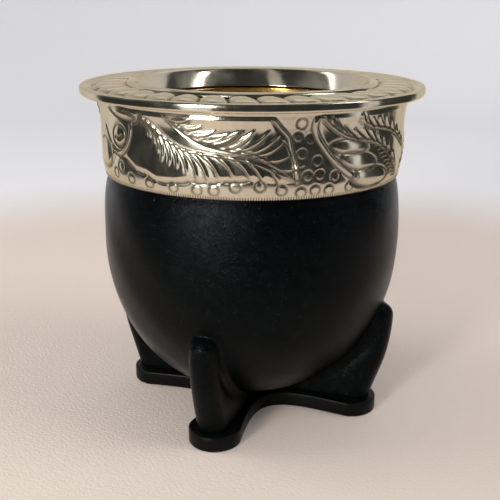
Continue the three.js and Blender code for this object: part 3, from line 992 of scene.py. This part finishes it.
class MATE_OT_lacing(PieceOperator):
    """One waxed thread laced across the back seam"""

    bl_idname = "mate_gourd.lacing"
    bl_label = "Seam Lacing"

    thread_radius = 0.4
    pitch = 2.3
    reach = 1.7
    proud = 0.35
    crossing_lift = 0.1
    hole_dip = 0.25
    band_gap = 1.5
    weld = 1e-7

    def execute(self, context):
        form = CoverForm(self.cover)
        low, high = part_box("seam_thread")
        stitches = round((high.z - low.z) / MM / self.pitch)
        curve = bpy.data.curves.new("lacing", "CURVE")
        curve.dimensions = "3D"
        curve.bevel_depth = self.thread_radius * MM
        curve.bevel_resolution = 4
        curve.use_fill_caps = True
        spline = curve.splines.new("NURBS")
        points = []
        for index in range(stitches + 1):
            points += self.stitch(form, index, stitches, low, high)
        spline.points.add(len(points) - 1)
        for made, place in zip(spline.points, points):
            made.co = (*place, 1)
        spline.use_endpoint_u = True
        spline.order_u = 3
        spline.resolution_u = 4
        holder = bpy.data.objects.new("lacing_path", curve)
        bpy.context.scene.collection.objects.link(holder)
        graph = bpy.context.evaluated_depsgraph_get()
        mesh = bpy.data.meshes.new_from_object(holder.evaluated_get(graph))
        bm = bmesh.new()
        bm.from_mesh(mesh)
        bpy.data.objects.remove(holder)
        bpy.data.curves.remove(curve)
        bpy.data.meshes.remove(mesh)
        bmesh.ops.remove_doubles(bm, verts=bm.verts, dist=self.weld)
        bmesh.ops.recalc_face_normals(bm, faces=bm.faces)
        thread = finishes.get(thread_material, self.cover.thread_colour)
        finish_piece(bm, "seam_lacing", ["seam_thread"], thread)
        return {"FINISHED"}

    def stitch(self, form, index, stitches, low, high):
        """Where the thread dips into a hole, and the crossing before it."""
        height = (high.z - (high.z - low.z) * index / stitches) / MM
        side = 1 if index % 2 else -1
        places = []
        crossing = (0.0, self.proud + self.crossing_lift, 0.5 * self.pitch)
        hole = (side * self.reach, self.proud - self.hole_dip, 0.0)
        for across, lift, rise in (crossing, hole):
            radius = form.radius_at(min(height + rise, BAND_LOW - self.band_gap)) + lift
            azimuth = form.seam + across / radius
            x, y = radius * math.sin(azimuth), -radius * math.cos(azimuth)
            places.append((x * MM, y * MM, (height + rise) * MM))
        return places


class MATE_OT_sole(PieceOperator):
    """Cross-shaped sole with four round lobes"""

    bl_idname = "mate_gourd.sole"
    bl_label = "Sole"

    lobe_radius = 7.0
    narrowing = 1.5
    crotch = 11.9
    notch_sweep = 3.5
    edge_round = 0.55
    level = 1e-6

    def execute(self, context):
        bm = bmesh.new()
        prism(bm, [(x, y, SOLE_LOW) for x, y in self.outline()], (0, 0, SOLE_HIGH - SOLE_LOW))
        bmesh.ops.recalc_face_normals(bm, faces=bm.faces)
        rims = [edge for edge in bm.edges if abs(edge.verts[0].co.z - edge.verts[1].co.z) < self.level]
        bmesh.ops.bevel(
            bm,
            geom=rims,
            offset=self.edge_round * MM,
            offset_type="OFFSET",
            affect="EDGES",
            segments=4,
            profile=0.5,
            material=-1,
        )
        hide = finishes.get(sole_material, self.cover.sole_colour)
        finish_piece(bm, "sole_leather", ["sole"], hide)
        return {"FINISHED"}

    def outline(self):
        """One arm: its round tip and the sweep into the notch, repeated round the sole."""
        lobe = SOLE_REACH - self.lobe_radius
        notch = self.crotch * math.sqrt(0.5)
        pull = (lobe - notch) / 2
        neck = self.lobe_radius - self.narrowing
        tip = arc(lobe, 0, self.lobe_radius, -90, 90, 36)
        sweep = self.notch_sweep
        deepest = (notch, notch)
        next_tip = (self.lobe_radius, lobe)
        into = bezier(tip[-1], (lobe - pull, neck), (notch + sweep, notch - sweep), deepest, 24)
        away = bezier(deepest, (notch - sweep, notch + sweep), (neck, lobe - pull), next_tip, 24)
        points = []
        for index in range(LEG_COUNT):
            turn = index * 2 * math.pi / LEG_COUNT
            cos, sin = math.cos(turn), math.sin(turn)
            points += [(x * cos - y * sin, x * sin + y * cos) for x, y in tip + into + away[:-1]]
        return points


class MATE_OT_gourd(PieceOperator):
    """The dried gourd that holds the drink"""

    bl_idname = "mate_gourd.gourd"
    bl_label = "Gourd"

    wall = 6.5
    bore_gap = 0.3
    neck_bed = 1.9
    neck_chamfer = 0.6
    neck_flare = 0.9
    neck_drop = 2
    shoulder_pull = 11
    steps = 144

    def execute(self, context):
        equator = self.cover.widest_height / MM
        neck = BAND_REACH - BAND_COVE - NECK_INSET - self.neck_bed
        bore = TUBE_RADIUS - THROAT_COLLAR + self.bore_gap
        pull = (GOURD_RADIUS, equator + self.shoulder_pull)
        flare = (neck + self.neck_flare, BAND_LOW - self.neck_drop)
        chamfer = self.neck_chamfer
        outside = self.bowl(GOURD_RADIUS, equator, equator - GOURD_LOW)
        outside += bezier((GOURD_RADIUS, equator), pull, flare, (neck, BAND_LOW), 12)
        outside += [(neck, GOURD_HIGH - chamfer), (neck - chamfer, GOURD_HIGH), (bore, GOURD_HIGH)]
        inner = GOURD_RADIUS - self.wall
        middle = (TUBE_LOW + equator) / 2
        mouth = (bore, TUBE_LOW)
        inside = [mouth, *bezier(mouth, (bore, middle), (inner, middle), (inner, equator), 12)]
        hollow = self.bowl(inner, equator, equator - GOURD_LOW - self.wall)[::-1]
        bm = spun(outside + inside + hollow[1:], self.steps, closed=False)
        finish_piece(bm, "gourd_rind", ["gourd_shell"], finishes.get(gourd_material))
        return {"FINISHED"}

    def bowl(self, widest, equator, depth):
        """The bowl from its bottom on the axis to its widest ring."""
        power = 2 / self.cover.fullness
        points = [(0.0, equator - depth)]
        for angle in np.linspace(0, math.pi / 2, 25)[1:]:
            down = depth * max(math.cos(angle), 0) ** power
            points.append((widest * math.sin(angle) ** power, equator - down))
        return points


class MATE_OT_throat(PieceOperator):
    """Brass tube with a collar, which lines the gourd's mouth"""

    bl_idname = "mate_gourd.throat"
    bl_label = "Throat Tube"

    shoulder_round = 0.5
    steps = 192

    def execute(self, context):
        sheet = self.ferrule.sheet / MM
        outside = TUBE_RADIUS - THROAT_COLLAR
        inside = outside - sheet
        bend = self.shoulder_round
        foot = arc(inside + sheet / 2, TUBE_LOW + sheet / 2, sheet / 2, 180, 360, 8)
        shoulder = arc(inside + bend, TUBE_HIGH - bend, bend, 90, 180, 6)
        profile = [
            *foot,
            (outside, TUBE_HIGH - sheet),
            (TUBE_RADIUS, TUBE_HIGH - sheet),
            (TUBE_RADIUS, TUBE_HIGH),
            *shoulder,
            (inside, (TUBE_LOW + TUBE_HIGH) / 2),
        ]
        brass = finishes.get(brass_material, self.ferrule.brass)
        finish_piece(spun(profile, self.steps), "throat_lining", ["throat_tube"], brass)
        return {"FINISHED"}


class MATE_OT_funnel(PieceOperator):
    """Funnel of the mouth with its round lip"""

    bl_idname = "mate_gourd.funnel"
    bl_label = "Mouth Funnel"

    lip_width = 2.6
    lip_height = 1.1
    lip_pull = 0.3
    throat_flare = 0.6
    throat_rise = 1.6
    steps = 288

    def execute(self, context):
        sheet = self.ferrule.sheet / MM
        mouth = FUNNEL_RADIUS - self.lip_width
        throat = TUBE_RADIUS - THROAT_COLLAR - sheet
        under = FUNNEL_HIGH - self.lip_height
        half = self.lip_width / 2
        lip = arc(FUNNEL_RADIUS - half, under, half, 0, 150, 22, rise=self.lip_height)
        curl = (mouth - self.lip_pull, under)
        flare = (throat + self.throat_flare, FUNNEL_LOW + self.throat_rise)
        flow = bezier(lip[-1], curl, flare, (throat, FUNNEL_LOW), 16)
        profile = [*lip, *flow, (throat + sheet, FUNNEL_LOW), (mouth + sheet, under)]
        ring = spun(profile, self.steps)
        finish_piece(ring, "mouth_lip", ["mouth_funnel"], self.silver)
        return {"FINISHED"}


class MATE_OT_flange(PieceOperator):
    """Flange with gadroons and a rolled edge"""

    bl_idname = "mate_gourd.flange"
    bl_label = "Rim Flange"

    bead = 1.1
    thickness = 1.7
    inner_border = 0.2
    outer_border = 0.7
    columns = 30
    rows = 34
    slant = 2.2
    slant_radius = 38
    lobe_share = 0.93
    lobe_crown = 0.7
    inner_round = 0.24
    inner_rise = 0.3
    outer_round = 0.2
    outer_rise = 0.42
    valley = 0.62
    valley_ends = 5
    ring_margin = 0.1
    seat = 1.5
    ring_pull = 0.5
    roll_pull = 0.8
    roll_squareness = 3.6

    def execute(self, context):
        top = RIM_LOW + self.thickness
        first = FUNNEL_RADIUS + self.inner_border
        last = RIM_RADIUS - 2 * self.bead - self.outer_border
        hole = FUNNEL_RADIUS - self.seat
        rows = [(radius, top) for radius in np.linspace(last, first, self.rows)]
        edge = self.rolled_edge()
        pull = (edge[-1][0] - self.roll_pull, edge[-1][1])
        dip = bezier(edge[-1], pull, (last + self.ring_pull, top), (last, top), 8)[:-1]
        profile = [(hole, RIM_LOW), (BAND_REACH, RIM_LOW), *edge, *dip, *rows, (hole, top)]
        ring = spun(profile, self.ferrule.gadroons * self.columns)
        piece = finish_piece(ring, "gadrooned_flange", ["rim_flange"], self.silver)
        self.raise_gadroons(piece.data, first, last, top)
        return {"FINISHED"}

    def rolled_edge(self):
        """The roll's outline from its underside to its crest, with a flattened front."""
        angles = np.radians(np.linspace(-90, 90, 25))
        power = 2 / self.roll_squareness
        across = np.clip(np.cos(angles), 0, 1) ** power
        up = np.sign(angles) * np.abs(np.sin(angles)) ** power
        centre = RIM_RADIUS - self.bead
        return [(centre + self.bead * x, RIM_LOW + self.bead * (1 + z)) for x, z in zip(across, up)]

    def raise_gadroons(self, mesh, first, last, top):
        """Lifts the lobes out of the flat ring and darkens the valleys between them with painted shade."""
        points = mesh_points(mesh)
        radius = np.hypot(points[:, 0], points[:, 1])
        along = (radius - first) / (last - first)
        on_ring = (along >= 0) & (along <= 1) & (points[:, 2] > top - self.ring_margin)
        azimuth = np.arctan2(points[:, 0], -points[:, 1]) - self.slant * (along - 0.5) / self.slant_radius
        across = (np.mod(azimuth * self.ferrule.gadroons / (2 * math.pi), 1.0) * 2 - 1) / self.lobe_share
        half_round = np.sqrt(np.clip(1 - across**2, 0, 1))
        inner = np.clip((along - self.inner_round * (1 - half_round)) / self.inner_rise, 0, 1)
        outer = np.clip((1 - along - self.outer_round * (1 - half_round)) / self.outer_rise, 0, 1)
        length = np.sqrt(1 - (1 - inner) ** 2) * np.sqrt(1 - (1 - outer) ** 2)
        lift = self.ferrule.gadroon_height / MM * length * half_round**self.lobe_crown
        points[:, 2] += np.where(on_ring, lift, 0.0)
        set_mesh_points(mesh, points)
        # Painted shade: the valleys between the lobes get a darker colour where the lift is low
        valley_shade = np.clip(1 - lift / self.valley, 0, 1) * np.clip(self.valley_ends * along * (1 - along), 0, 1)
        set_recess(mesh, np.where(on_ring, valley_shade, 0.0))


class MATE_OT_band(PieceOperator):
    """Band of the ferrule, chased all round"""

    bl_idname = "mate_gourd.band"
    bl_label = "Ferrule Band"

    columns_a_tooth = 3
    rows = 70
    hem = 0.5
    hem_height = 1.5
    bulge = 0.15
    lean_height = 4.2
    spread = 0.8
    spread_height = 5.5
    tooth_depth = 0.75
    notch_share = 0.3
    notch_shift = 0.1
    notch_height = 0.9
    notch_depth = 0.2
    notch_dark = 0.9
    edge_height = 0.02
    face_depth = 0.62
    face_margin = 0.2
    plain_hem = 0.7
    hem_fade = 0.6
    plain_top = 19.4
    top_fade = 0.8

    def execute(self, context):
        radius = BAND_REACH - BAND_COVE
        inside = radius - self.ferrule.sheet / MM
        top = BAND_HIGH - BAND_COVE
        heights = np.linspace(BAND_LOW, top, self.rows)
        outer = [(radius - self.turned_in(height), height) for height in heights]
        cove = arc(BAND_REACH, top, BAND_COVE - self.spread, 180, 90, 5, rise=BAND_COVE)[1:]
        back = [(inside, BAND_HIGH), (inside, BAND_LOW + self.hem_height), (inside - self.hem, BAND_LOW)]
        ring = spun([*outer, *cove, *back], self.ferrule.teeth * self.columns_a_tooth)
        piece = finish_piece(ring, "chased_band", ["ferrule_band"], self.silver)
        self.chase(piece.data, radius)
        return {"FINISHED"}

    def turned_in(self, height):
        """How far the face lies inside the band's radius.

        It grips the leather at its lower edge and spreads at the flange.
        """
        top = BAND_HIGH - BAND_COVE
        grip = max(0.0, 1 - (height - BAND_LOW) / self.lean_height)
        open_share = max(0.0, 1 - (top - height) / self.spread_height)
        middle = (height - BAND_LOW) / (top - BAND_LOW)
        return self.hem * grip**2 - 4 * self.bulge * middle * (1 - middle) - self.spread * open_share**2

    def chase(self, mesh, radius):
        """Hammers the ornament into the band and notches its lower edge."""
        points = mesh_points(mesh)
        out = np.hypot(points[:, 0], points[:, 1])
        azimuth = np.arctan2(points[:, 0], -points[:, 1])
        up = points[:, 2] - BAND_LOW
        face = (out > radius - self.face_depth) & (points[:, 2] < BAND_HIGH - self.face_margin)
        panel = 2 * math.pi * radius / self.ferrule.panels
        facing = bpy.context.scene.mate_gourd.studio.azimuth
        along = np.mod((azimuth - facing) * radius - PANEL_START, panel) + PANEL_START
        work = Chasing(along[face], up[face])
        chase_panel(work)
        fade = np.clip((up[face] - self.plain_hem) / self.hem_fade, 0, 1)
        fade *= np.clip((self.plain_top - up[face]) / self.top_fade, 0, 1)
        lift = np.zeros(len(points))
        cut = np.zeros(len(points))
        lift[face] = self.ferrule.relief * work.height * fade
        cut[face] = np.sqrt(work.cut) * fade
        tooth = azimuth * self.ferrule.teeth / (2 * math.pi) + self.notch_shift
        notch = np.mod(tooth, 1.0) < self.notch_share
        hem = notch & (up < self.notch_height) & face
        lift[hem] -= self.notch_depth
        cut[hem] = self.notch_dark
        points[:, :2] *= ((out + lift) / out)[:, None]
        points[notch & (up < self.edge_height), 2] += self.tooth_depth
        set_mesh_points(mesh, points)
        set_recess(mesh, cut)


class MATE_OT_inner_parts(PieceOperator):
    """Finishes of the pieces that stay hidden inside"""

    bl_idname = "mate_gourd.inner_parts"
    bl_label = "Inner Parts"

    def execute(self, context):
        self.paint("bedding_ring", finishes.get(resin_material))
        for side in ("front", "right", "back", "left"):
            self.paint(f"leg_core_{side}", finishes.get(wood_material))
        return {"FINISHED"}

    def paint(self, node, material):
        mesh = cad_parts[node].data
        mesh.materials.clear()
        mesh.materials.append(material)


# Stage


class MATE_OT_stage(bpy.types.Operator):
    """Pale floor, soft studio light and the camera"""

    bl_idname = "mate_gourd.stage"
    bl_label = "Stage"

    floor_radius = 0.55
    sweep = 0.35
    wall_height = 0.75
    floor_rings = (120, 300)
    dish_steps = 96
    flag_steps = 16
    floor_edge = 185.0
    wall_edge = 300.0
    air_colour = (0.95, 0.9, 0.83, 1)
    air_strength = 0.55
    flag_colour = (0.03, 0.036, 0.036, 1)
    flag_line = ((0.235, 0.001), (0.3, 0.001), (0.3, 0.6), (0.1, 0.75))

    # Azimuths are counted from the camera's, in radians
    flags = (("flag_left", -1.92, -0.72), ("flag_middle", -0.44, 1.2), ("flag_right", 1.4, 2.15))

    # Name, place (azimuth, distance, height), size, power, colour and spread in degrees
    lamps = (
        ("window_lamp", (-1.65, 0.72, 0.5), (0.5, 0.6), 2.9, (1.0, 0.97, 0.93), 180),
        ("front_lamp", (-0.56, 0.6, 0.17), (0.12, 0.18), 0.36, (1.0, 0.97, 0.93), 60),
        ("fill_lamp", (1.3, 0.75, 0.75), (0.5, 0.5), 3.9, (1.0, 0.98, 0.95), 180),
        ("back_lamp", (2.9, 0.6, 0.75), (0.8, 0.4), 0.3, (1.0, 0.99, 0.97), 180),
    )
    lamp_aim = Vector((0, 0, 0.05))

    def execute(self, context):
        studio = context.scene.mate_gourd.studio
        context.scene.view_settings.view_transform = "Standard"
        self.add_camera(context, studio)
        self.add_dish(studio)
        self.add_world(context)
        for lamp in self.lamps:
            self.add_lamp(studio.azimuth, *lamp)
        for name, start, stop in self.flags:
            self.add_flag(name, studio.azimuth + start, studio.azimuth + stop)
        return {"FINISHED"}

    def add_camera(self, context, studio):
        data = bpy.data.cameras.new("photo_camera")
        data.lens = studio.lens
        data.sensor_width = 36
        data.clip_start = 0.01
        camera = bpy.data.objects.new("photo_camera", data)
        context.scene.collection.objects.link(camera)
        turn = Matrix.Rotation(studio.azimuth, 4, "Z")
        place = Matrix.Translation((0, -studio.distance, studio.height))
        aim = Matrix.Rotation(studio.yaw, 4, "Z")
        tilt = Matrix.Rotation(math.pi / 2 - studio.pitch, 4, "X")
        roll = Matrix.Rotation(studio.roll, 4, "Z")
        camera.matrix_world = turn @ place @ aim @ tilt @ roll
        context.scene.camera = camera

    def add_dish(self, studio):
        """A round floor that sweeps up into a wall on all sides."""
        reach = self.floor_radius / MM
        sweep = self.sweep / MM
        flat = [(radius, 0) for radius in (0, *self.floor_rings)]
        top = (reach + sweep, sweep + self.wall_height / MM)
        bm = spun([*flat, *arc(reach, sweep, sweep, -90, 0, 24), top], self.dish_steps, closed=False)
        bmesh.ops.reverse_faces(bm, faces=bm.faces)
        floor = new_object(bm, "studio_floor", self.floor_material(studio))
        floor.data.shade_smooth()

    def floor_material(self, studio):
        material, tree, shader, place = new_material("pale_floor")
        length = shader_node(tree, "ShaderNodeVectorMath", {0: place}, operation="LENGTH").outputs["Value"]
        far = shader_node(
            tree,
            "ShaderNodeMapRange",
            {"Value": length, "From Min": self.floor_edge, "From Max": self.wall_edge},
            interpolation_type="SMOOTHSTEP",
        ).outputs["Result"]
        feed(tree, shader, {"Base Color": mixed(tree, far, studio.floor_colour, studio.wall_colour)})
        shader.inputs["Roughness"].default_value = 0.9
        shader.inputs["Specular IOR Level"].default_value = 0.1
        bump(tree, shader, noise(tree, place, 1.2, 4.0), 0.15 * MM)
        return material

    def add_world(self, context):
        world = bpy.data.worlds.new("studio_air")
        world.use_nodes = True
        sky = world.node_tree.nodes["Background"]
        sky.inputs["Color"].default_value = self.air_colour
        sky.inputs["Strength"].default_value = self.air_strength
        context.scene.world = world

    def add_lamp(self, facing, name, place, size, power, colour, spread):
        data = bpy.data.lights.new(name, "AREA")
        data.shape = "RECTANGLE"
        data.size, data.size_y = size
        data.energy = power
        data.color = colour
        data.spread = math.radians(spread)
        lamp = bpy.data.objects.new(name, data)
        lamp.visible_camera = False
        bpy.context.scene.collection.objects.link(lamp)
        turn, distance, height = place
        azimuth = facing + turn
        lamp.location = (distance * math.sin(azimuth), -distance * math.cos(azimuth), height)
        aim = self.lamp_aim - lamp.location
        lamp.rotation_euler = aim.to_track_quat("-Z", "Y").to_euler()

    def add_flag(self, name, start, stop):
        """A dark curved card out of the picture that gives the polished metal its contrast."""
        bm = bmesh.new()
        line = [bm.verts.new((0, -distance, height)) for distance, height in self.flag_line]
        edges = [bm.edges.new(pair) for pair in zip(line, line[1:])]
        rotate(bm, line, start)
        bmesh.ops.spin(
            bm, geom=line + edges, cent=(0, 0, 0), axis=AXIS, angle=stop - start, steps=self.flag_steps
        )
        material, _, shader, _ = new_material(f"{name}_cloth")
        shader.inputs["Base Color"].default_value = self.flag_colour
        shader.inputs["Roughness"].default_value = 1.0
        flag = new_object(bm, name, material)
        flag.visible_camera = False
        flag.visible_shadow = False
        flag.visible_diffuse = False


class MATE_PT_panel(bpy.types.Panel):
    """The gourd's pieces in the sidebar"""

    bl_idname = "MATE_PT_panel"
    bl_label = "Mate Gourd"
    bl_space_type = "VIEW_3D"
    bl_region_type = "UI"
    bl_category = "Mate Gourd"

    def draw(self, context):
        for operator in PIECES:
            self.layout.operator(operator.bl_idname)


PIECES = (
    MATE_OT_stage,
    MATE_OT_sole,
    MATE_OT_cover,
    MATE_OT_lacing,
    MATE_OT_gourd,
    MATE_OT_throat,
    MATE_OT_funnel,
    MATE_OT_flange,
    MATE_OT_band,
    MATE_OT_inner_parts,
)
CLASSES = (CoverSettings, FerruleSettings, StudioSettings, GourdSettings, *PIECES, MATE_PT_panel)


def register():
    for cls in CLASSES:
        bpy.utils.register_class(cls)
    bpy.types.Scene.mate_gourd = PointerProperty(type=GourdSettings)


def unregister():
    del bpy.types.Scene.mate_gourd
    for cls in reversed(CLASSES):
        bpy.utils.unregister_class(cls)


def main():
    register()
    for operator in PIECES:
        group, name = operator.bl_idname.split(".")
        getattr(getattr(bpy.ops, group), name)()


if __name__ == "__main__":
    main()
